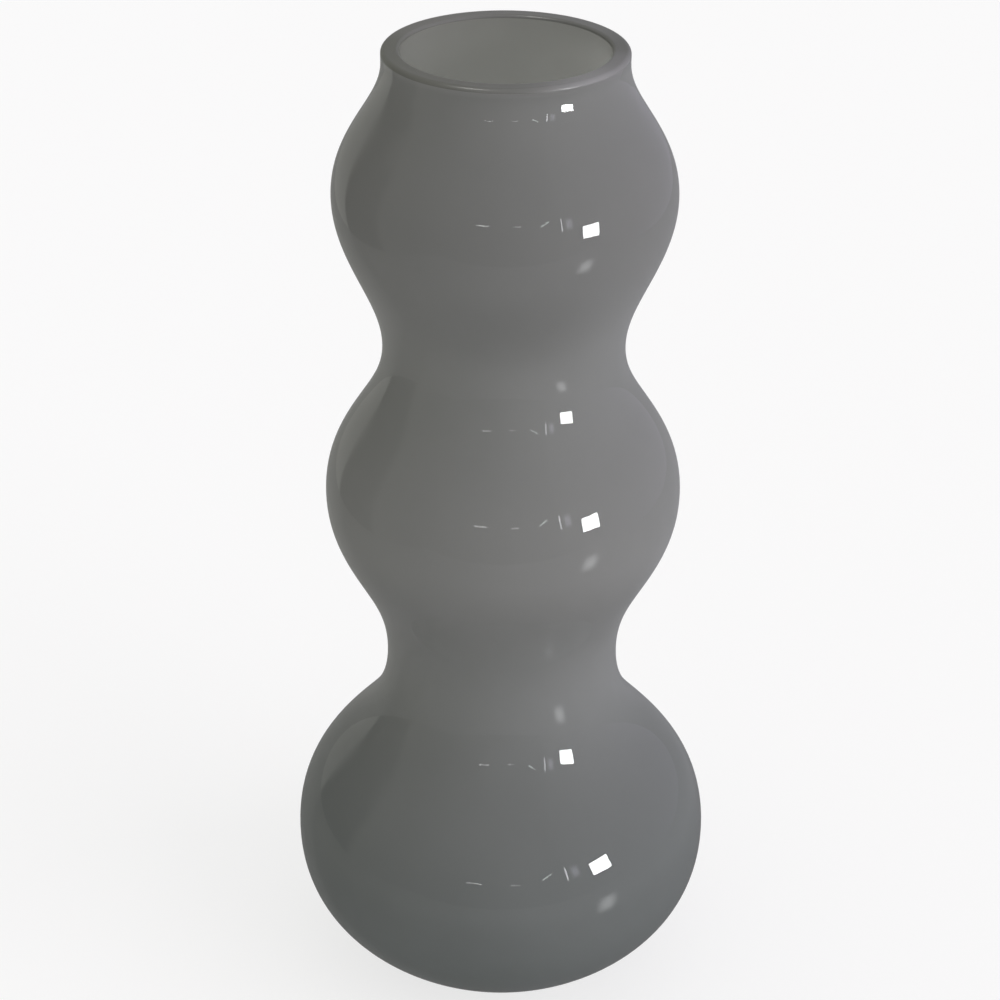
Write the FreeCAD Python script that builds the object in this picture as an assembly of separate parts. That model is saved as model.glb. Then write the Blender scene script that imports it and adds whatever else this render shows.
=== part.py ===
"""A blown glass vase of three stacked bulbs, made of two layers of glass that are fused face to face.

The outer casing is transparent smoke glass with a heavy foot. The lining inside it is opal glass, and
holds the water. Both are turned about the Z axis, which starts at the middle of the face that the vase
stands on. Sizes are in millimetres.

The side of the vase is a chain of half waves, from neck to bulb and from bulb to neck. Each neck and each
bulb is a station with a radius, a height and the radius to which the side curves there. The two half waves
that meet at a station share that curve, so that a reflection runs over it without a break.
"""
import FreeCAD, Part
import math
import os

# Heights, from the rim down: the drop from each station to the next
rim_to_throat = 3.0
throat_to_top_bulb = 31.5
top_bulb_to_upper_neck = 37.8
upper_neck_to_middle_bulb = 39.0
middle_bulb_to_lower_neck = 46.0
lower_neck_to_bottom_bulb = 54.0
bottom_bulb_to_table = 38.7

# The outside at each station: its radius, and the radius to which the side curves there
throat_radius = 28.0
throat_curve = 13.4
top_bulb_radius = 40.0
top_bulb_curve = 26.9
upper_neck_radius = 28.9
upper_neck_curve = 24.4
middle_bulb_radius = 43.4
middle_bulb_curve = 35.3
lower_neck_radius = 29.1
lower_neck_curve = 45.5
bottom_bulb_radius = 53.3
bottom_bulb_curve = 44.6

# The casing's level thickness at each station: blown glass stays thick in a neck and thins on a bulb
throat_casing = 2.6
top_bulb_casing = 2.2
upper_neck_casing = 2.9
middle_bulb_casing = 2.2
lower_neck_casing = 3.1
bottom_bulb_casing = 2.5

# The lining's level thickness at each station
throat_lining = 1.6
top_bulb_lining = 1.3
upper_neck_lining = 1.7
middle_bulb_lining = 1.3
lower_neck_lining = 1.8
bottom_bulb_lining = 1.5

# The rim: ground flat on top, with both edges polished round
rim_outer_rounding = 1.0
rim_inner_rounding = 0.8

# The foot: a flat ground ring, its rounded outer edge, the slope at which the bulb runs into it and how far
# that slope holds, and the shallow hollow that is ground where the hot vase was held by an iron
foot_radius = 26.2
foot_edge_rounding = 0.8
foot_slope_degrees = 45.5
foot_slope_reach = 14.6
foot_ring_width = 10.0
foot_hollow_depth = 1.4

# The glass under the inside's level floor
floor_casing = 8.0
floor_lining = 2.2

# The longest handle of a half wave, as a share of its drop: past this a short wave would fold over itself
longest_handle_share = 0.62

bottom_bulb_height = bottom_bulb_to_table
lower_neck_height = bottom_bulb_height + lower_neck_to_bottom_bulb
middle_bulb_height = lower_neck_height + middle_bulb_to_lower_neck
upper_neck_height = middle_bulb_height + upper_neck_to_middle_bulb
top_bulb_height = upper_neck_height + top_bulb_to_upper_neck
throat_height = top_bulb_height + throat_to_top_bulb
rim_height = throat_height + rim_to_throat


class Station:
    """A place where the side runs straight up and down: a neck, or the widest part of a bulb."""

    def __init__(self, radius, height, curve, is_bulb):
        self.radius = radius
        self.height = height
        self.curve = curve
        self.is_bulb = is_bulb

    def inward(self, wall):
        """The same station on the surface that lies deeper in the glass by the thickness of a wall."""
        curve = self.curve - wall if self.is_bulb else self.curve + wall
        return Station(self.radius - wall, self.height, curve, self.is_bulb)


def point(radius, height):
    """A point of the section, which is drawn in the XZ plane."""
    return FreeCAD.Vector(radius, 0, height)


def line(start, end):
    """A straight edge of the section."""
    return Part.LineSegment(start, end).toShape()


def arc(centre, radius, start_degrees, end_degrees):
    """A round edge about a centre; angles count from the outward direction, positive upward."""
    middle_degrees = (start_degrees + end_degrees) / 2
    points = []
    for degrees in (start_degrees, middle_degrees, end_degrees):
        angle = math.radians(degrees)
        points.append(centre + point(radius * math.cos(angle), radius * math.sin(angle)))
    return Part.Arc(*points).toShape()


def bezier(*poles):
    """A smooth edge of the section, which leaves and arrives along its first and last handle."""
    curve = Part.BezierCurve()
    curve.setPoles(list(poles))
    return curve.toShape()


def handle(curve, sideways, drop):
    """The upright handle that gives a cubic the wanted radius of curvature where it leaves a station."""
    return min(math.sqrt(2 / 3 * curve * abs(sideways)), longest_handle_share * drop)


def half_wave(upper, lower):
    """The side from one station down to the next, upright at both."""
    sideways = upper.radius - lower.radius
    drop = upper.height - lower.height
    return bezier(
        point(upper.radius, upper.height),
        point(upper.radius, upper.height - handle(upper.curve, sideways, drop)),
        point(lower.radius, lower.height + handle(lower.curve, sideways, drop)),
        point(lower.radius, lower.height),
    )


def side(stations):
    """The chain of half waves through the stations, from the top one down."""
    return [half_wave(upper, lower) for upper, lower in zip(stations, stations[1:])]


def bowl(station, floor_height):
    """An inner surface from the widest part of the bottom bulb to the middle of a floor, level over the foot."""
    upright = handle(station.curve, station.radius - foot_radius, station.height - floor_height)
    return bezier(
        point(station.radius, station.height),
        point(station.radius, station.height - upright),
        point(foot_radius, floor_height),
        point(0, floor_height),
    )


def foot(station):
    """The outside from the widest part of the bottom bulb under to the middle of the ground foot."""
    slope = math.radians(foot_slope_degrees)
    edge_centre = point(foot_radius - foot_edge_rounding * math.tan(slope / 2), foot_edge_rounding)
    slope_end = edge_centre + point(
        foot_edge_rounding * math.sin(slope),
        -foot_edge_rounding * math.cos(slope),
    )
    slope_start = slope_end + point(foot_slope_reach * math.cos(slope), foot_slope_reach * math.sin(slope))
    upright = handle(station.curve, station.radius - slope_start.x, station.height)
    hollow_radius = foot_radius - foot_ring_width
    dish_radius = (hollow_radius**2 + foot_hollow_depth**2) / (2 * foot_hollow_depth)
    dish_centre = point(0, foot_hollow_depth - dish_radius)
    dish_edge_degrees = math.degrees(math.acos(hollow_radius / dish_radius))
    return [
        bezier(
            point(station.radius, station.height),
            point(station.radius, station.height - upright),
            slope_start,
            slope_end,
        ),
        arc(edge_centre, foot_edge_rounding, foot_slope_degrees - 90, -90),
        line(point(edge_centre.x, 0), point(hollow_radius, 0)),
        arc(dish_centre, dish_radius, dish_edge_degrees, 90),
    ]


def turned(edges):
    """The solid that a closed section makes in one turn about the vase's axis."""
    wire = Part.Wire(Part.__sortEdges__(edges))
    return Part.Face(wire).revolve(FreeCAD.Vector(0, 0, 0), FreeCAD.Vector(0, 0, 1), 360)


outside = [
    Station(throat_radius, throat_height, throat_curve, False),
    Station(top_bulb_radius, top_bulb_height, top_bulb_curve, True),
    Station(upper_neck_radius, upper_neck_height, upper_neck_curve, False),
    Station(middle_bulb_radius, middle_bulb_height, middle_bulb_curve, True),
    Station(lower_neck_radius, lower_neck_height, lower_neck_curve, False),
    Station(bottom_bulb_radius, bottom_bulb_height, bottom_bulb_curve, True),
]
casing_walls = [
    throat_casing,
    top_bulb_casing,
    upper_neck_casing,
    middle_bulb_casing,
    lower_neck_casing,
    bottom_bulb_casing,
]
lining_walls = [
    throat_lining,
    top_bulb_lining,
    upper_neck_lining,
    middle_bulb_lining,
    lower_neck_lining,
    bottom_bulb_lining,
]
seam = [station.inward(wall) for station, wall in zip(outside, casing_walls)]
inside = [station.inward(wall) for station, wall in zip(seam, lining_walls)]
seam_floor = floor_casing
inside_floor = floor_casing + floor_lining


def seam_edges():
    """The surface where the layers are fused, from the rim down to the middle of the casing's floor."""
    return [
        line(point(seam[0].radius, rim_height), point(seam[0].radius, seam[0].height)),
        *side(seam),
        bowl(seam[-1], seam_floor),
    ]


def outer_casing():
    """The transparent outer layer, with the outer part of the rim and the heavy foot."""
    radius, rounding = throat_radius, rim_outer_rounding
    edges = [
        *seam_edges(),
        line(point(0, seam_floor), point(0, foot_hollow_depth)),
        *foot(outside[-1]),
        *side(outside),
        line(point(radius, throat_height), point(radius, rim_height - rounding)),
        arc(point(radius - rounding, rim_height - rounding), rounding, 0, 90),
        line(point(radius - rounding, rim_height), point(seam[0].radius, rim_height)),
    ]
    return turned(edges)


def opal_lining():
    """The opal inner layer, with the inner part of the rim."""
    radius, rounding = inside[0].radius, rim_inner_rounding
    edges = [
        *seam_edges(),
        line(point(0, seam_floor), point(0, inside_floor)),
        bowl(inside[-1], inside_floor),
        *side(inside),
        line(point(radius, throat_height), point(radius, rim_height - rounding)),
        arc(point(radius + rounding, rim_height - rounding), rounding, 180, 90),
        line(point(radius + rounding, rim_height), point(seam[0].radius, rim_height)),
    ]
    return turned(edges)


os.makedirs("parts", exist_ok=True)
pieces = {"outer_casing": outer_casing(), "opal_lining": opal_lining()}
for name, shape in pieces.items():
    shape.exportStep(f"parts/{name}.step")
    box = shape.BoundBox
    print(
        f"{name}: valid {shape.isValid()}, {shape.Volume / 1000:.1f} cm3, "
        f"{box.XLength:.1f} x {box.YLength:.1f} x {box.ZLength:.1f} mm"
    )
shared = pieces["outer_casing"].common(pieces["opal_lining"]).Volume
print(f"the layers share {shared:.4f} mm3")
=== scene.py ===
"""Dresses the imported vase: a transparent smoke-glass casing over an opal lining, on a pale table.

Everything is in metres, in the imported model's frame: Z is up, and the vase stands on the XY plane with its
axis on the Z axis. The camera looks along +Y and down.
"""
import math
import bmesh
import bpy
from mathutils import Matrix, Vector


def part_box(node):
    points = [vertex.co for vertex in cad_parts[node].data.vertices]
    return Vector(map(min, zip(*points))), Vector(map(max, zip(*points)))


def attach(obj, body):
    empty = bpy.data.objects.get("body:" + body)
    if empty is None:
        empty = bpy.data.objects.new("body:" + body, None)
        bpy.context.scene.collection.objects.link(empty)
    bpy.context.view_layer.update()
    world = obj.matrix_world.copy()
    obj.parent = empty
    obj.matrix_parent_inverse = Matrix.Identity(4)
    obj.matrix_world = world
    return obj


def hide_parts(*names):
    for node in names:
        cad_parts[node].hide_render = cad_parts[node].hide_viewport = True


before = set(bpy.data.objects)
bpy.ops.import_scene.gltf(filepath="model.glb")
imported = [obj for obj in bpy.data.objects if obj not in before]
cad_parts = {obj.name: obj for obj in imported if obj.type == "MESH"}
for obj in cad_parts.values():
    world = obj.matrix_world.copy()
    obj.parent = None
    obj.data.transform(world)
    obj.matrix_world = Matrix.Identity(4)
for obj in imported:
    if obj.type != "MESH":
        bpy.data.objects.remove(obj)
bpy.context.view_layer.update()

# Heights of the side, from the rim down: the drop from each station to the next
RIM_TO_THROAT = 0.0030
THROAT_TO_TOP_BULB = 0.0315
TOP_BULB_TO_UPPER_NECK = 0.0378
UPPER_NECK_TO_MIDDLE_BULB = 0.0390
MIDDLE_BULB_TO_LOWER_NECK = 0.0460
LOWER_NECK_TO_BOTTOM_BULB = 0.0540

# The outside at each station: its radius, and the radius to which the side curves there
THROAT_RADIUS, THROAT_CURVE = 0.0280, 0.0134
TOP_BULB_RADIUS, TOP_BULB_CURVE = 0.0400, 0.0269
UPPER_NECK_RADIUS, UPPER_NECK_CURVE = 0.0289, 0.0244
MIDDLE_BULB_RADIUS, MIDDLE_BULB_CURVE = 0.0434, 0.0353
LOWER_NECK_RADIUS, LOWER_NECK_CURVE = 0.0291, 0.0455
BOTTOM_BULB_RADIUS, BOTTOM_BULB_CURVE = 0.0533, 0.0446

# The level thickness of each layer at the stations, from the throat down
CASING_WALLS = (0.0026, 0.0022, 0.0029, 0.0022, 0.0031, 0.0025)
LINING_WALLS = (0.0016, 0.0013, 0.0017, 0.0013, 0.0018, 0.0015)

# The rim's polished edges, the ground foot and the floor
RIM_OUTER_ROUNDING = 0.0010
RIM_INNER_ROUNDING = 0.0008
FOOT_RADIUS = 0.0262
FOOT_EDGE_ROUNDING = 0.0008
FOOT_SLOPE = math.radians(45.5)
FOOT_SLOPE_REACH = 0.0146
FOOT_RING_WIDTH = 0.0100
FOOT_HOLLOW_DEPTH = 0.0014
FLOOR_CASING = 0.0080
FLOOR_LINING = 0.0022
LONGEST_HANDLE_SHARE = 0.62

# The lining reaches this far into the casing, so that no film of air shows between the fused layers
FUSED_DEPTH = 0.00005
FUSED_LIP = 0.0003

# Points of a section that are nearer than this are one point
SAME_POINT = 0.0000005

# How fine the turned meshes are
TURN_STEPS = 160
WAVE_STEPS = 32
ROUNDING_STEPS = 8
FLAT_STEPS = 4
SHARP_ANGLE = math.radians(25)

# The camera: where it is, how far it looks down, how it leans, and its lens
CAMERA_PLACE = (-0.0007, -0.5005, 0.4148)
CAMERA_DOWN = math.radians(29.24)
CAMERA_LEAN = math.radians(0.35)
SENSOR_WIDTH = 36.0
FOCAL_LENGTH = 83.7
NEAREST_SEEN = 0.01

RIM_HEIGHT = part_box("outer_casing")[1][2]

# Where a ramp over soft noise starts and ends, as most of the noise lies between them
NOISE_LOW, NOISE_HIGH = 0.3, 0.7

# The smoke glass: the slow waves left by blowing, its fire polish and tint, and the smoke in its depth
GLASS_IOR = 1.5
WAVE_SCALE = 26.0
WAVE_STRENGTH = 0.025
WAVE_DEPTH = 0.0006
POLISH_SCALE = 420.0
POLISH_ROUGHNESS, POLISH_ROUGHNESS_SPAN = 0.001, 0.004
SMOKE_TINT_LOW = (0.90, 0.91, 0.90)
SMOKE_TINT_HIGH = (0.95, 0.95, 0.94)
SMOKE_SHADOW = (0.9, 0.9, 0.9, 1.0)
SMOKE_COLOUR = (0.55, 0.60, 0.58, 1.0)
SMOKE_DENSITY = 50.0

# The opal's colour from the foot up, at the foot, each station and the rim, and the clouds in it. The tones
# hold
# painted light: paler in the necks, at the rim and at the foot, to lift the shade that falls there; darker
# and greener in the bottom bulb.
OPAL_TONES_WITH_PAINTED_LIGHT = (
    (0.320, 0.333, 0.329),
    (0.087, 0.098, 0.097),
    (0.278, 0.278, 0.274),
    (0.207, 0.207, 0.202),
    (0.252, 0.252, 0.246),
    (0.174, 0.174, 0.170),
    (0.215, 0.215, 0.210),
    (0.320, 0.320, 0.312),
)
CLOUD_SCALE = 30.0
CLOUD_DEPTH = 0.12
FUSED_ROUGHNESS = 0.9

# The opal's open face inside the vase
INSIDE_TONE_LOW = (0.272, 0.273, 0.253)
INSIDE_TONE_HIGH = (0.292, 0.292, 0.274)
INSIDE_ROUGHNESS = 0.12
INSIDE_TRANSLUCENCE = 0.75

# The rim's ground face's tones, by the share of a turn from the back: painted light and painted reflection,
# darkest at the left and the right and palest at the right front. Noise streaks the places where the tones
# change.
GROUND_PAINTED_LIGHT_TONES = (
    (0.00, (0.152, 0.152, 0.145)),
    (0.15, (0.148, 0.148, 0.138)),
    (0.24, (0.114, 0.117, 0.101)),
    (0.40, (0.127, 0.129, 0.116)),
    (0.50, (0.138, 0.140, 0.131)),
    (0.62, (0.215, 0.214, 0.215)),
    (0.70, (0.164, 0.164, 0.163)),
    (0.76, (0.120, 0.122, 0.114)),
    (0.85, (0.148, 0.150, 0.143)),
    (1.00, (0.152, 0.152, 0.145)),
)
STREAK_SCALE = 90.0
STREAK_REACH = 0.04

# The ground face's satin grain, and the share of the light that passes through it to the glass below
GRAIN_SCALE = 2600.0
GRAIN_STRENGTH = 0.25
GRAIN_DEPTH = 0.00004
SATIN_ROUGHNESS, SATIN_ROUGHNESS_SPAN = 0.27, 0.08
SATIN_SPECULAR = 0.35
GROUND_CLEAR_SHARE = 0.7


class Station:
    """A place where the side runs straight up and down: a neck, or the widest part of a bulb."""

    def __init__(self, radius, height, curve, is_bulb):
        self.radius = radius
        self.height = height
        self.curve = curve
        self.is_bulb = is_bulb

    def inward(self, wall):
        """The same station on the surface that lies deeper in the glass by the thickness of a wall."""
        curve = self.curve - wall if self.is_bulb else self.curve + wall
        return Station(self.radius - wall, self.height, curve, self.is_bulb)


def stations():
    """The outside's stations, from the throat down."""
    shapes = (
        (RIM_TO_THROAT, THROAT_RADIUS, THROAT_CURVE, False),
        (THROAT_TO_TOP_BULB, TOP_BULB_RADIUS, TOP_BULB_CURVE, True),
        (TOP_BULB_TO_UPPER_NECK, UPPER_NECK_RADIUS, UPPER_NECK_CURVE, False),
        (UPPER_NECK_TO_MIDDLE_BULB, MIDDLE_BULB_RADIUS, MIDDLE_BULB_CURVE, True),
        (MIDDLE_BULB_TO_LOWER_NECK, LOWER_NECK_RADIUS, LOWER_NECK_CURVE, False),
        (LOWER_NECK_TO_BOTTOM_BULB, BOTTOM_BULB_RADIUS, BOTTOM_BULB_CURVE, True),
    )
    found, height = [], RIM_HEIGHT
    for drop, radius, curve, is_bulb in shapes:
        height -= drop
        found.append(Station(radius, height, curve, is_bulb))
    return found


def cubic(poles, steps):
    """Points along a cubic of four poles."""
    points = []
    for step in range(steps + 1):
        t = step / steps
        shares = ((1 - t) ** 3, 3 * t * (1 - t) ** 2, 3 * t**2 * (1 - t), t**3)
        points.append(tuple(sum(share * pole[k] for share, pole in zip(shares, poles)) for k in (0, 1)))
    return points


def round_edge(centre, radius, start, end, steps):
    """Points along an arc; angles count from the outward direction, positive upward."""
    angles = [start + (end - start) * step / steps for step in range(steps + 1)]
    return [(centre[0] + radius * math.cos(a), centre[1] + radius * math.sin(a)) for a in angles]


def straight(start, end, steps):
    """Points along a straight stretch."""
    shares = [step / steps for step in range(steps + 1)]
    return [tuple(a + (b - a) * share for a, b in zip(start, end)) for share in shares]


def handle(curve, sideways, drop):
    """The upright handle that gives a cubic the wanted radius of curvature where it leaves a station."""
    return min(math.sqrt(2 / 3 * curve * abs(sideways)), LONGEST_HANDLE_SHARE * drop)


def side(chain):
    """Points down the chain of half waves through the stations."""
    points = []
    for upper, lower in zip(chain, chain[1:]):
        sideways, drop = upper.radius - lower.radius, upper.height - lower.height
        poles = (
            (upper.radius, upper.height),
            (upper.radius, upper.height - handle(upper.curve, sideways, drop)),
            (lower.radius, lower.height + handle(lower.curve, sideways, drop)),
            (lower.radius, lower.height),
        )
        points += cubic(poles, WAVE_STEPS)
    return points


def bowl(station, floor_height):
    """Points from the widest part of the bottom bulb to the middle of an inner floor."""
    upright = handle(station.curve, station.radius - FOOT_RADIUS, station.height - floor_height)
    poles = (
        (station.radius, station.height),
        (station.radius, station.height - upright),
        (FOOT_RADIUS, floor_height),
        (0.0, floor_height),
    )
    return cubic(poles, WAVE_STEPS)


def foot(station):
    """Points from the widest part of the bottom bulb under to the foot, and on over its ground faces."""
    sine, cosine = math.sin(FOOT_SLOPE), math.cos(FOOT_SLOPE)
    edge = (FOOT_RADIUS - FOOT_EDGE_ROUNDING * math.tan(FOOT_SLOPE / 2), FOOT_EDGE_ROUNDING)
    slope_end = (edge[0] + FOOT_EDGE_ROUNDING * sine, edge[1] - FOOT_EDGE_ROUNDING * cosine)
    slope_start = (slope_end[0] + FOOT_SLOPE_REACH * cosine, slope_end[1] + FOOT_SLOPE_REACH * sine)
    upright = handle(station.curve, station.radius - slope_start[0], station.height)
    poles = (
        (station.radius, station.height),
        (station.radius, station.height - upright),
        slope_start,
        slope_end,
    )
    hollow = FOOT_RADIUS - FOOT_RING_WIDTH
    dish = (hollow**2 + FOOT_HOLLOW_DEPTH**2) / (2 * FOOT_HOLLOW_DEPTH)
    dish_centre = (0.0, FOOT_HOLLOW_DEPTH - dish)
    right_angle = math.pi / 2
    blown = [
        *cubic(poles, WAVE_STEPS),
        *round_edge(edge, FOOT_EDGE_ROUNDING, FOOT_SLOPE - right_angle, -right_angle, ROUNDING_STEPS),
    ]
    ground = [
        *straight((edge[0], 0.0), (hollow, 0.0), FLAT_STEPS),
        *round_edge(dish_centre, dish, math.acos(hollow / dish), right_angle, ROUNDING_STEPS),
    ]
    return blown, ground


def lip(radius, rounding, outward, seam_radius):
    """Points round a layer's edge of the ground rim, and over the flat top to the seam."""
    centre = (radius - outward * rounding, RIM_HEIGHT - rounding)
    start, up = (0.0 if outward > 0 else math.pi), math.pi / 2
    return [
        *round_edge(centre, rounding, start, up, ROUNDING_STEPS),
        *straight((centre[0], RIM_HEIGHT), (seam_radius, RIM_HEIGHT), FLAT_STEPS),
    ]


def turned(name, stretches, materials):
    """A piece turned about the Z axis.

    Each stretch of its section is a list of points and the index of the stretch's material.
    """
    points, finishes = [], []
    for stretch, finish in stretches:
        for point in stretch:
            if points and math.dist(point, points[-1]) < SAME_POINT:
                continue
            if points:
                finishes.append(finish)
            points.append(point)
    vertices, rings = [], []
    for radius, height in points:
        if radius < SAME_POINT:
            rings.append([len(vertices)] * TURN_STEPS)
            vertices.append((0.0, 0.0, height))
            continue
        rings.append(range(len(vertices), len(vertices) + TURN_STEPS))
        for step in range(TURN_STEPS):
            angle = 2 * math.pi * step / TURN_STEPS
            vertices.append((radius * math.cos(angle), radius * math.sin(angle), height))
    faces, indices = [], []
    for ring, after, finish in zip(rings, rings[1:], finishes):
        for step in range(TURN_STEPS):
            following = (step + 1) % TURN_STEPS
            corners = (ring[step], after[step], after[following], ring[following])
            faces.append(tuple(dict.fromkeys(corners)))
            indices.append(finish)
    mesh = bpy.data.meshes.new(name)
    mesh.from_pydata(vertices, [], faces)
    for material in materials:
        mesh.materials.append(material)
    mesh.polygons.foreach_set("material_index", indices)
    mesh.polygons.foreach_set("use_smooth", [True] * len(faces))
    mesh.set_sharp_from_angle(angle=SHARP_ANGLE)
    piece = bpy.data.objects.new(name, mesh)
    bpy.context.scene.collection.objects.link(piece)
    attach(piece, "root")
    return piece


def backwards(points):
    """The same points from the other end."""
    return points[::-1]


def make_casing(outside, seam, glass, ground_glass_painted_light):
    """The transparent outer layer: from its floor up the seam, over the rim and down to the foot."""
    blown_foot, ground_foot = foot(outside[-1])
    stretches = [
        ([*backwards(bowl(seam[-1], FLOOR_CASING)), *backwards(side(seam)), (seam[0].radius, RIM_HEIGHT)], 0),
        (backwards(lip(THROAT_RADIUS, RIM_OUTER_ROUNDING, 1, seam[0].radius)), 1),
        ([*side(outside), *blown_foot], 0),
        (ground_foot, 1),
    ]
    piece = turned("smoke_casing", stretches, [glass, ground_glass_painted_light])
    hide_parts("outer_casing")


def make_lining(seam, inside, opal, fused_opal, ground_glass_painted_light):
    """The opal inner layer: from its floor up the inside, over the rim and down the seam."""
    grown = [station.inward(-FUSED_DEPTH) for station in seam]
    open_side = [
        *backwards(bowl(inside[-1], FLOOR_CASING + FLOOR_LINING)),
        *backwards(side(inside)),
        (inside[0].radius, RIM_HEIGHT - RIM_INNER_ROUNDING),
    ]
    rim = lip(inside[0].radius, RIM_INNER_ROUNDING, -1, seam[0].radius)
    fused = [
        (grown[0].radius, RIM_HEIGHT - FUSED_LIP),
        *side(grown),
        *bowl(grown[-1], FLOOR_CASING - FUSED_DEPTH),
    ]
    stretches = [(open_side, 0), (rim, 2), (fused, 1)]
    piece = turned("opal_layer", stretches, [opal, fused_opal, ground_glass_painted_light])
    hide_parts("opal_lining")


class Nodes:
    """A short way to build a node tree."""

    def __init__(self, owner):
        owner.use_nodes = True
        self.tree = owner.node_tree
        self.tree.nodes.clear()

    def add(self, kind, inputs=None, **settings):
        """A node with its settings, and its inputs as values or as sockets to link from."""
        node = self.tree.nodes.new(kind)
        for key, value in settings.items():
            setattr(node, key, value)
        for key, value in (inputs or {}).items():
            if isinstance(value, bpy.types.NodeSocket):
                self.tree.links.new(value, node.inputs[key])
            else:
                node.inputs[key].default_value = value
        return node

    def math(self, operation, *values):
        """One sum, product or the like."""
        return self.add("ShaderNodeMath", dict(enumerate(values)), operation=operation).outputs[0]

    def ramp(self, factor, stops, ease="LINEAR"):
        """A colour ramp through (place, colour) stops."""
        node = self.add("ShaderNodeValToRGB", {0: factor})
        ramp = node.color_ramp
        ramp.interpolation = ease
        while len(ramp.elements) < len(stops):
            ramp.elements.new(1.0)
        for element, (place, colour) in zip(ramp.elements, stops):
            element.position = place
            element.color = (*colour, 1.0)
        return node.outputs[0]

    def place(self, kind="Object"):
        """The three coordinates of the shaded point."""
        node = self.add("ShaderNodeSeparateXYZ", {0: self.add("ShaderNodeTexCoord").outputs[kind]})
        return list(node.outputs)

    def turn(self):
        """The shaded point's share of a turn about the vase's axis, from the back by the left."""
        x, y, _ = self.place()
        bearing = self.math("ARCTAN2", x, self.math("MULTIPLY", y, -1.0))
        return self.math("MULTIPLY_ADD", bearing, 0.5 / math.pi, 0.5)

    def seen(self):
        """1 for the rays that show the background: from the camera, mirrored, or through glass."""
        path = self.add("ShaderNodeLightPath")
        seen = self.math("MAXIMUM", path.outputs["Is Camera Ray"], path.outputs["Is Transmission Ray"])
        return self.math("MAXIMUM", seen, path.outputs["Is Glossy Ray"])

    def unseen(self):
        """1 for the rays that only carry light on: toward a lamp, or scattered."""
        path = self.add("ShaderNodeLightPath")
        return self.math("MAXIMUM", path.outputs["Is Shadow Ray"], path.outputs["Is Diffuse Ray"])

    def colour(self, colour):
        """A colour that is the same everywhere."""
        node = self.tree.nodes.new("ShaderNodeRGB")
        node.outputs[0].default_value = (*colour, 1.0)
        return node.outputs[0]

    def mix(self, factor, low, high):
        """A blend of two colours."""
        node = self.add("ShaderNodeMix", data_type="RGBA")
        for socket, value in ((0, factor), (6, low), (7, high)):
            self.tree.links.new(value, node.inputs[socket])
        return node.outputs[2]

    def between(self, value, low, high):
        """0 below low, 1 above high and smooth between."""
        sockets = {0: value, 1: low, 2: high}
        return self.add("ShaderNodeMapRange", sockets, interpolation_type="SMOOTHSTEP").outputs[0]

    def noise(self, scale, detail, vector):
        """Soft procedural noise."""
        sockets = {"Vector": vector, "Scale": scale, "Detail": detail}
        return self.add("ShaderNodeTexNoise", sockets).outputs[0]

    def bump(self, strength, depth, height):
        """A normal that follows a height."""
        sockets = {"Strength": strength, "Distance": depth, "Height": height}
        return self.add("ShaderNodeBump", sockets).outputs[0]


def smoke_glass():
    """Transparent smoke glass: glossy, a little wavy from blowing, and darker where it is thick."""
    material = bpy.data.materials.new("smoke_glass")
    nodes = Nodes(material)
    place = nodes.add("ShaderNodeTexCoord").outputs["Object"]
    slow = nodes.noise(WAVE_SCALE, 1.0, place)
    fine = nodes.noise(POLISH_SCALE, 2.0, place)
    waves = nodes.bump(WAVE_STRENGTH, WAVE_DEPTH, slow)
    roughness = nodes.math("MULTIPLY_ADD", fine, POLISH_ROUGHNESS_SPAN, POLISH_ROUGHNESS)
    tint = nodes.ramp(slow, ((NOISE_LOW, SMOKE_TINT_LOW), (NOISE_HIGH, SMOKE_TINT_HIGH)))
    glass = nodes.add(
        "ShaderNodeBsdfPrincipled",
        {
            "Base Color": tint,
            "Roughness": roughness,
            "IOR": GLASS_IOR,
            "Transmission Weight": 1.0,
            "Normal": waves,
        },
    ).outputs[0]
    through = nodes.add("ShaderNodeBsdfTransparent", {"Color": SMOKE_SHADOW}).outputs[0]
    surface = nodes.add("ShaderNodeMixShader", {0: nodes.unseen(), 1: glass, 2: through}).outputs[0]
    depth = {"Color": SMOKE_COLOUR, "Density": SMOKE_DENSITY}
    smoke = nodes.add("ShaderNodeVolumeAbsorption", depth).outputs[0]
    nodes.add("ShaderNodeOutputMaterial", {"Surface": surface, "Volume": smoke})
    return material


def ground_glass_painted_light():
    """The rim's and the foot's ground faces: satin grey, in which the two layers can't be told apart, with
    painted light and painted reflection by bearing.
    """
    material = bpy.data.materials.new("ground_glass_painted_light")
    nodes = Nodes(material)
    place = nodes.add("ShaderNodeTexCoord").outputs["Object"]
    # Painted light and reflection: the tone changes with the bearing round the axis, streaked by noise
    painted_light_bearing = nodes.math("MULTIPLY_ADD", nodes.noise(STREAK_SCALE, 2.0, place), STREAK_REACH, nodes.turn())
    colour = nodes.ramp(nodes.math("SUBTRACT", painted_light_bearing, STREAK_REACH / 2), GROUND_PAINTED_LIGHT_TONES, "EASE")
    grain = nodes.noise(GRAIN_SCALE, 2.0, place)
    sockets = {
        "Base Color": colour,
        "Roughness": nodes.math("MULTIPLY_ADD", grain, SATIN_ROUGHNESS_SPAN, SATIN_ROUGHNESS),
        "Specular IOR Level": SATIN_SPECULAR,
        "Normal": nodes.bump(GRAIN_STRENGTH, GRAIN_DEPTH, grain),
    }
    satin = nodes.add("ShaderNodeBsdfPrincipled", sockets).outputs[0]
    clear = nodes.add("ShaderNodeBsdfTransparent").outputs[0]
    passed = nodes.math("MULTIPLY", nodes.unseen(), GROUND_CLEAR_SHARE)
    surface = nodes.add("ShaderNodeMixShader", {0: passed, 1: satin, 2: clear}).outputs[0]
    nodes.add("ShaderNodeOutputMaterial", {"Surface": surface})
    return material


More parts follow.
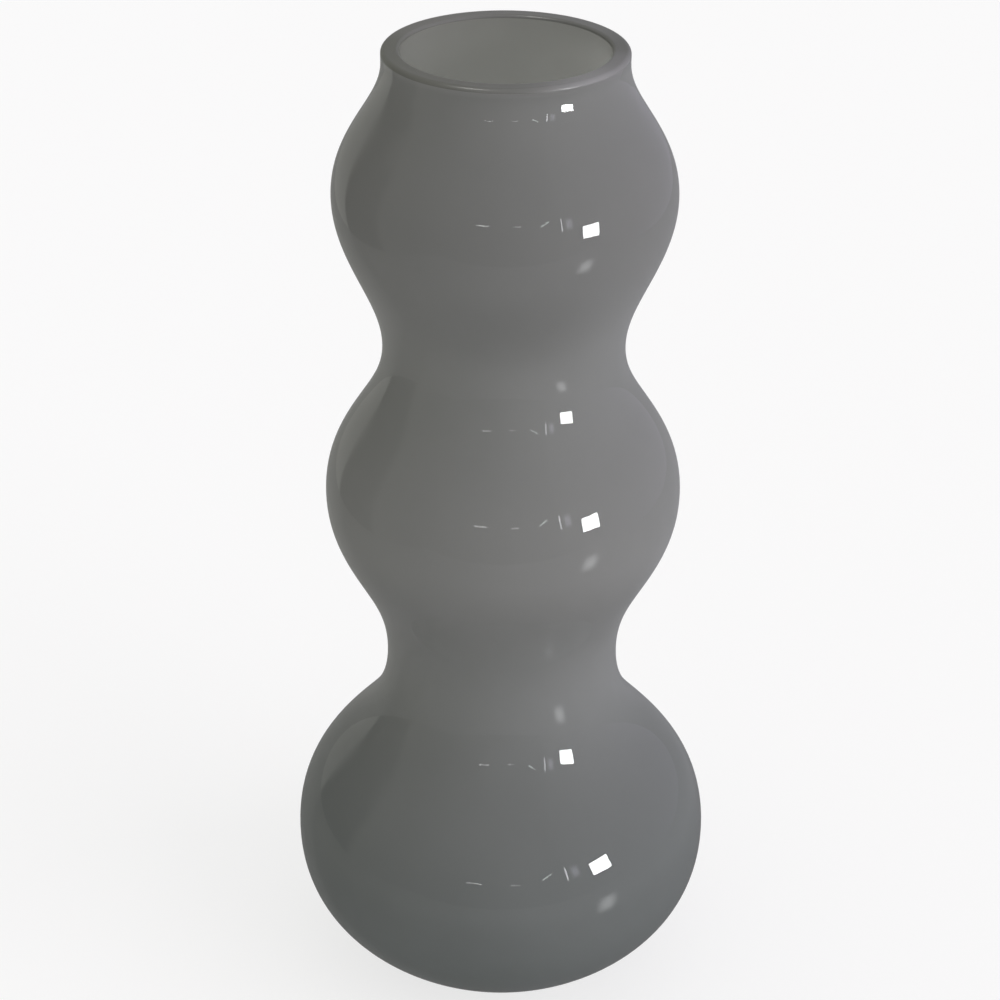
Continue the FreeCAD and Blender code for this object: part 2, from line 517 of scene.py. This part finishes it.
def opal_colour_with_painted_light(nodes):
    """Milky grey with faint clouds and painted light: paler in the necks, at the rim and at the foot to lift
    the shade there, cooler and darker in the bottom bulb.
    """
    place = nodes.add("ShaderNodeTexCoord").outputs["Object"]
    noise = nodes.noise(CLOUD_SCALE, 3.0, place)
    clouds = nodes.math("MULTIPLY_ADD", noise, CLOUD_DEPTH, 1.0 - CLOUD_DEPTH / 2)
    share = nodes.math("DIVIDE", nodes.place()[2], RIM_HEIGHT)
    heights = [0.0, *(station.height for station in reversed(outside)), RIM_HEIGHT]
    stops = [(height / RIM_HEIGHT, tone) for height, tone in zip(heights, OPAL_TONES_WITH_PAINTED_LIGHT)]
    # Painted light: the tones by height lift the shade in the necks, under the rim and at the foot
    tones = nodes.ramp(share, stops, "B_SPLINE")
    return nodes.add("ShaderNodeVectorMath", {0: tones, 1: clouds}, operation="MULTIPLY").outputs[0]


def opal_glass(name, is_fused):
    """Opaque grey opal glass: glossy inside the vase, and with no surface of its own where it is fused. The
    fused face's colour holds painted light.
    """
    material = bpy.data.materials.new(name)
    nodes = Nodes(material)
    if is_fused:
        # The fused face's colour holds painted light: paler where shade falls in the necks, under the rim and
        # at the foot
        colour = opal_colour_with_painted_light(nodes)
        settings = {"Base Color": colour, "Roughness": FUSED_ROUGHNESS, "Specular IOR Level": 0.0}
        opal = nodes.add("ShaderNodeBsdfPrincipled", settings).outputs[0]
        clear = nodes.add("ShaderNodeBsdfTransparent").outputs[0]
        from_inside = nodes.add("ShaderNodeNewGeometry").outputs["Backfacing"]
        surface = nodes.add("ShaderNodeMixShader", {0: from_inside, 1: opal, 2: clear}).outputs[0]
    else:
        place = nodes.add("ShaderNodeTexCoord").outputs["Object"]
        stops = ((NOISE_LOW, INSIDE_TONE_LOW), (NOISE_HIGH, INSIDE_TONE_HIGH))
        milk = nodes.ramp(nodes.noise(CLOUD_SCALE, 3.0, place), stops)
        settings = {"Base Color": milk, "Roughness": INSIDE_ROUGHNESS}
        opal = nodes.add("ShaderNodeBsdfPrincipled", settings).outputs[0]
        through = nodes.add("ShaderNodeBsdfTranslucent", {"Color": milk}).outputs[0]
        surface = nodes.add("ShaderNodeMixShader", {0: INSIDE_TRANSLUCENCE, 1: opal, 2: through}).outputs[0]
    nodes.add("ShaderNodeOutputMaterial", {"Surface": surface})
    return material


# The floor, and the light on it and on the vase: a soft light from all round and a broad one from the right
FLOOR_REACH = 4.0
FLOOR_COLOUR = (0.93, 0.93, 0.93, 1.0)
FLOOR_WHITE_SHARE = 0.7
BACKGROUND = (0.955, 0.955, 0.955)
SOFT_LIGHT_LEFT = (0.74, 0.738, 0.66)
SOFT_LIGHT_RIGHT = (0.70, 0.685, 0.76)
KEY_BEARING, KEY_HEIGHT = 65, 18
KEY_STRENGTH = 2.0
KEY_SPREAD = math.radians(60)
KEY_COLOUR = (0.98, 0.95, 1.0)

# What the glass mirrors. The table's edges, its sheen and how softly each stretch ends
TABLE_LEFT, TABLE_RIGHT = -0.40, 0.60
TABLE_NEAR, TABLE_FAR = -0.42, 1.00
TABLE_EDGE = 0.03
TABLE_HEIGHT = 0.0005
TABLE_SHEEN = 0.12
TABLE_SHADE = (0.14, 0.14, 0.14)
TABLE_SHADE_REACH = 0.20

# The table's tones, by the share of a turn from the back by the left
TABLE_TONES = (
    (0.0, (0.25, 0.25, 0.24)),
    (0.12, (0.24, 0.24, 0.23)),
    (0.19, (0.19, 0.19, 0.18)),
    (0.25, (0.24, 0.24, 0.22)),
    (0.5, (0.46, 0.46, 0.46)),
    (0.75, (0.44, 0.44, 0.46)),
    (1.0, (0.25, 0.25, 0.26)),
)

# The room's distance and how fine its dome is, and its tones by the bearing in degrees from the camera
# toward the right
ROOM_REACH = 3.2
ROOM_STEPS_ROUND, ROOM_STEPS_UP = 64, 32
ROOM_TONES = (
    (-180, (0.26, 0.26, 0.26)),
    (-155, (0.34, 0.34, 0.32)),
    (-140, (0.38, 0.38, 0.355)),
    (-128, (0.38, 0.38, 0.355)),
    (-110, (0.30, 0.30, 0.28)),
    (-84, (0.25, 0.25, 0.23)),
    (-60, (0.21, 0.21, 0.20)),
    (0, (0.23, 0.23, 0.23)),
    (34, (0.25, 0.25, 0.25)),
    (38, (0.32, 0.32, 0.32)),
    (110, (0.47, 0.455, 0.51)),
    (150, (0.42, 0.41, 0.46)),
    (180, (0.28, 0.28, 0.30)),
)

# The dark doorway: the bearing in degrees of its left side, the degrees over which that fades to each side
# at the table's height, and what each metre above the table adds to them
DOORWAY_LEFT = -125
DOORWAY_LEFT_SOFTNESS = 2
DOORWAY_LEFT_SPREAD = 9

# The bearings between which the doorway's right side fades in, the heights between which its top does, and
# its colour
DOORWAY_RIGHT = (-84, -92)
DOORWAY_TOP = (1.75, 1.15)
DOORWAY = (0.03, 0.03, 0.025)

# The window and its image in the table: each card's place, size, colour and strength
WINDOW = ((0.516, -0.367, 0.200), (0.125, 0.12), (0.97, 0.99, 1.0), 28.0)
WINDOW_IN_TABLE = ((0.509, -0.348, -0.168), (0.16, 0.20), (0.97, 0.99, 1.0), 24.0)
WINDOW_IN_TABLE_SOFTNESS = 0.9

# The small bright things: each card's name, bearing, height in degrees and distance from the middle of the
# vase, then its size, roll in degrees, colour, strength and softness
SMALL_THINGS = (
    ("strip_left", (-14, 14.5, 2.3), (0.34, 0.040), 0, (1.0, 1.0, 1.0), 7.5, 0.25),
    ("strip_middle", (8, 14.0, 2.3), (0.22, 0.036), 0, (1.0, 1.0, 1.0), 4.5, 0.25),
    ("strip_slanted", (25.5, 16.0, 1.35), (0.17, 0.024), 35, (0.9, 1.0, 0.95), 7.5, 0.25),
    ("blind", (36.0, 13.5, 1.13), (0.016, 0.24), 0, (0.95, 0.95, 1.0), 11.0, 0.25),
    ("curtain", (41.0, 13.5, 1.13), (0.13, 0.26), 0, (0.88, 0.88, 1.0), 2.4, 0.8),
    ("rim_glint", (-46, 62.0, 1.5), (0.22, 0.12), 0, (1.0, 1.0, 0.97), 130.0, 0.25),
)


def flat_mesh(name, left, near, right, far):
    """A mesh of one level four-sided face."""
    mesh = bpy.data.meshes.new(name)
    corners = [(left, near, 0.0), (right, near, 0.0), (right, far, 0.0), (left, far, 0.0)]
    mesh.from_pydata(corners, [], [(0, 1, 2, 3)])
    return mesh


def make_floor():
    """The plain pale floor."""
    mesh = flat_mesh("floor", -FLOOR_REACH, -FLOOR_REACH, FLOOR_REACH, FLOOR_REACH)
    floor = bpy.data.objects.new("floor", mesh)
    floor.visible_glossy = False
    bpy.context.scene.collection.objects.link(floor)
    material = bpy.data.materials.new("floor")
    nodes = Nodes(material)
    lit = nodes.add("ShaderNodeBsdfDiffuse", {"Color": FLOOR_COLOUR}).outputs[0]
    white = nodes.add("ShaderNodeEmission", {"Color": (1.0, 1.0, 1.0, 1.0), "Strength": 1.0}).outputs[0]
    share = nodes.math("MULTIPLY", nodes.seen(), FLOOR_WHITE_SHARE)
    surface = nodes.add("ShaderNodeMixShader", {0: share, 1: lit, 2: white}).outputs[0]
    nodes.add("ShaderNodeOutputMaterial", {"Surface": surface})
    mesh.materials.append(material)


def direction(bearing_degrees, height_degrees):
    """A unit vector toward a bearing, from the camera toward the right, and a height over the floor."""
    bearing, height = math.radians(bearing_degrees), math.radians(height_degrees)
    level = math.cos(height)
    return Vector((math.sin(bearing) * level, -math.cos(bearing) * level, math.sin(height)))


def facing(place, target):
    """The turn that points a thing's -Z axis from a place toward a target, with its Y axis up."""
    return (Vector(target) - Vector(place)).to_track_quat("-Z", "Y")


def make_light():
    """Plain soft light from all round, warmer from the left, and a broad lamp at the right."""
    world = bpy.data.worlds.new("studio")
    bpy.context.scene.world = world
    nodes = Nodes(world)
    across = nodes.math("MULTIPLY_ADD", nodes.place("Generated")[0], 0.5, 0.5)
    soft = nodes.ramp(across, ((0.0, SOFT_LIGHT_LEFT), (1.0, SOFT_LIGHT_RIGHT)))
    colour = nodes.mix(nodes.seen(), soft, nodes.colour(BACKGROUND))
    light = nodes.add("ShaderNodeBackground", {"Color": colour, "Strength": 1.0}).outputs[0]
    nodes.add("ShaderNodeOutputWorld", {"Surface": light})
    lamp = bpy.data.lights.new("key", "SUN")
    lamp.energy = KEY_STRENGTH
    lamp.angle = KEY_SPREAD
    lamp.color = KEY_COLOUR
    key = bpy.data.objects.new("key", lamp)
    key.location = direction(KEY_BEARING, KEY_HEIGHT)
    key.rotation_euler = facing(key.location, (0.0, 0.0, 0.0)).to_euler()
    key.visible_camera = False
    key.visible_glossy = False
    key.visible_transmission = False
    bpy.context.scene.collection.objects.link(key)


def mirrored_only(name, mesh, material):
    """A thing that only mirrored rays can meet, so that it neither shows nor lights anything."""
    thing = bpy.data.objects.new(name, mesh)
    mesh.materials.append(material)
    for kind in ("camera", "diffuse", "transmission", "volume_scatter", "shadow"):
        setattr(thing, f"visible_{kind}", False)
    bpy.context.scene.collection.objects.link(thing)
    return thing


def glow(name, colour, strength, softness):
    """Even light from a card, which fades toward the card's edges over a share of its half width."""
    material = bpy.data.materials.new(name)
    nodes = Nodes(material)
    surface = nodes.add("ShaderNodeEmission", {"Color": (*colour, 1.0), "Strength": strength}).outputs[0]
    if softness:
        low = 0.5 * (1 - softness)
        masks = [nodes.between(nodes.math("ABSOLUTE", away), 0.5, low) for away in nodes.place()[:2]]
        clear = nodes.add("ShaderNodeBsdfTransparent").outputs[0]
        mask = nodes.math("MULTIPLY", *masks)
        surface = nodes.add("ShaderNodeMixShader", {0: mask, 1: clear, 2: surface}).outputs[0]
    nodes.add("ShaderNodeOutputMaterial", {"Surface": surface})
    return material


def add_card(name, place, size, colour, strength, softness=0.0, roll_degrees=0.0):
    """A flat card that faces the middle of the vase."""
    mesh = flat_mesh(name, -0.5, -0.5, 0.5, 0.5)
    card = mirrored_only(name, mesh, glow(name, colour, strength, softness))
    turn = facing(place, (0.0, 0.0, RIM_HEIGHT / 2)).to_matrix().to_4x4()
    roll = Matrix.Rotation(math.radians(roll_degrees), 4, "Z")
    scale = Matrix.Diagonal((*size, 1.0, 1.0))
    card.matrix_world = Matrix.Translation(place) @ turn @ roll @ scale


def turn_share(bearing_degrees):
    """A bearing as a share of a turn from the back by the left."""
    return (bearing_degrees + 180) / 360


def room_glow():
    """The room round the table: a dark doorway at the left, paler walls at the right and behind."""
    material = bpy.data.materials.new("room")
    nodes = Nodes(material)
    turn, height = nodes.turn(), nodes.place()[2]
    walls = nodes.ramp(turn, [(turn_share(bearing), tone) for bearing, tone in ROOM_TONES])
    soft = nodes.math("MULTIPLY", nodes.math("MAXIMUM", height, 0.0), DOORWAY_LEFT_SPREAD / 360)
    soft = nodes.math("ADD", soft, DOORWAY_LEFT_SOFTNESS / 360)
    edge = turn_share(DOORWAY_LEFT)
    left = nodes.between(turn, nodes.math("SUBTRACT", edge, soft), nodes.math("ADD", edge, soft))
    right = nodes.between(turn, *map(turn_share, DOORWAY_RIGHT))
    doorway = nodes.math("MULTIPLY", left, right)
    doorway = nodes.math("MULTIPLY", doorway, nodes.between(height, *DOORWAY_TOP))
    walls = nodes.mix(doorway, walls, nodes.colour(DOORWAY))
    surface = nodes.add("ShaderNodeEmission", {"Color": walls, "Strength": 1.0}).outputs[0]
    nodes.add("ShaderNodeOutputMaterial", {"Surface": surface})
    return material


def table_glow():
    """The grey table with a slight sheen, in which a dim image of the room shows."""
    material = bpy.data.materials.new("table")
    nodes = Nodes(material)
    x, y, _ = nodes.place()
    inside = nodes.math(
        "MULTIPLY",
        nodes.between(x, TABLE_LEFT - TABLE_EDGE, TABLE_LEFT),
        nodes.between(x, TABLE_RIGHT + TABLE_EDGE, TABLE_RIGHT),
    )
    inside = nodes.math("MULTIPLY", inside, nodes.between(y, TABLE_NEAR - TABLE_EDGE, TABLE_NEAR))
    squares = [nodes.math("POWER", distance, 2.0) for distance in (x, y)]
    away = nodes.math("SQRT", nodes.math("ADD", *squares))
    shade = nodes.between(away, TABLE_SHADE_REACH, BOTTOM_BULB_RADIUS)
    top = nodes.mix(shade, nodes.ramp(nodes.turn(), TABLE_TONES), nodes.colour(TABLE_SHADE))
    top = nodes.add("ShaderNodeEmission", {"Color": top, "Strength": 1.0}).outputs[0]
    clear = nodes.add("ShaderNodeBsdfTransparent").outputs[0]
    cover = nodes.math("MULTIPLY", inside, 1.0 - TABLE_SHEEN)
    surface = nodes.add("ShaderNodeMixShader", {0: cover, 1: clear, 2: top}).outputs[0]
    nodes.add("ShaderNodeOutputMaterial", {"Surface": surface})
    return material


def make_reflections():
    """The room, the table, the window and the small bright things that the photograph's highlights show."""
    bm = bmesh.new()
    steps = {"u_segments": ROOM_STEPS_ROUND, "v_segments": ROOM_STEPS_UP}
    bmesh.ops.create_uvsphere(bm, **steps, radius=ROOM_REACH)
    room = bpy.data.meshes.new("room")
    bm.to_mesh(room)
    bm.free()
    mirrored_only("room", room, room_glow())
    near, far = TABLE_NEAR - TABLE_EDGE, TABLE_FAR
    left, right = TABLE_LEFT - TABLE_EDGE, TABLE_RIGHT + TABLE_EDGE
    table = mirrored_only("table", flat_mesh("table", left, near, right, far), table_glow())
    table.location.z = TABLE_HEIGHT
    add_card("window", *WINDOW)
    add_card("window_in_table", *WINDOW_IN_TABLE, softness=WINDOW_IN_TABLE_SOFTNESS)
    for name, (bearing, height, reach), size, roll, colour, strength, softness in SMALL_THINGS:
        place = direction(bearing, height) * reach
        place.z += RIM_HEIGHT / 2
        add_card(name, place, size, colour, strength, softness, roll)


def make_camera():
    """The camera, at the photograph's viewing angle."""
    lens = bpy.data.cameras.new("camera")
    lens.sensor_width = SENSOR_WIDTH
    lens.lens = FOCAL_LENGTH
    lens.clip_start = NEAREST_SEEN
    camera = bpy.data.objects.new("camera", lens)
    tilt = Matrix.Rotation(math.pi / 2 - CAMERA_DOWN, 4, "X")
    lean = Matrix.Rotation(CAMERA_LEAN, 4, "Z")
    camera.matrix_world = Matrix.Translation(CAMERA_PLACE) @ tilt @ lean
    bpy.context.scene.collection.objects.link(camera)
    bpy.context.scene.camera = camera


outside = stations()
seam = [station.inward(wall) for station, wall in zip(outside, CASING_WALLS)]
inside = [station.inward(wall) for station, wall in zip(seam, LINING_WALLS)]
ground = ground_glass_painted_light()
make_casing(outside, seam, smoke_glass(), ground)
make_lining(seam, inside, opal_glass("opal_glass", False), opal_glass("fused_opal_with_painted_light", True), ground)
make_floor()
make_light()
make_reflections()
make_camera()
bpy.context.scene.view_settings.view_transform = "Standard"
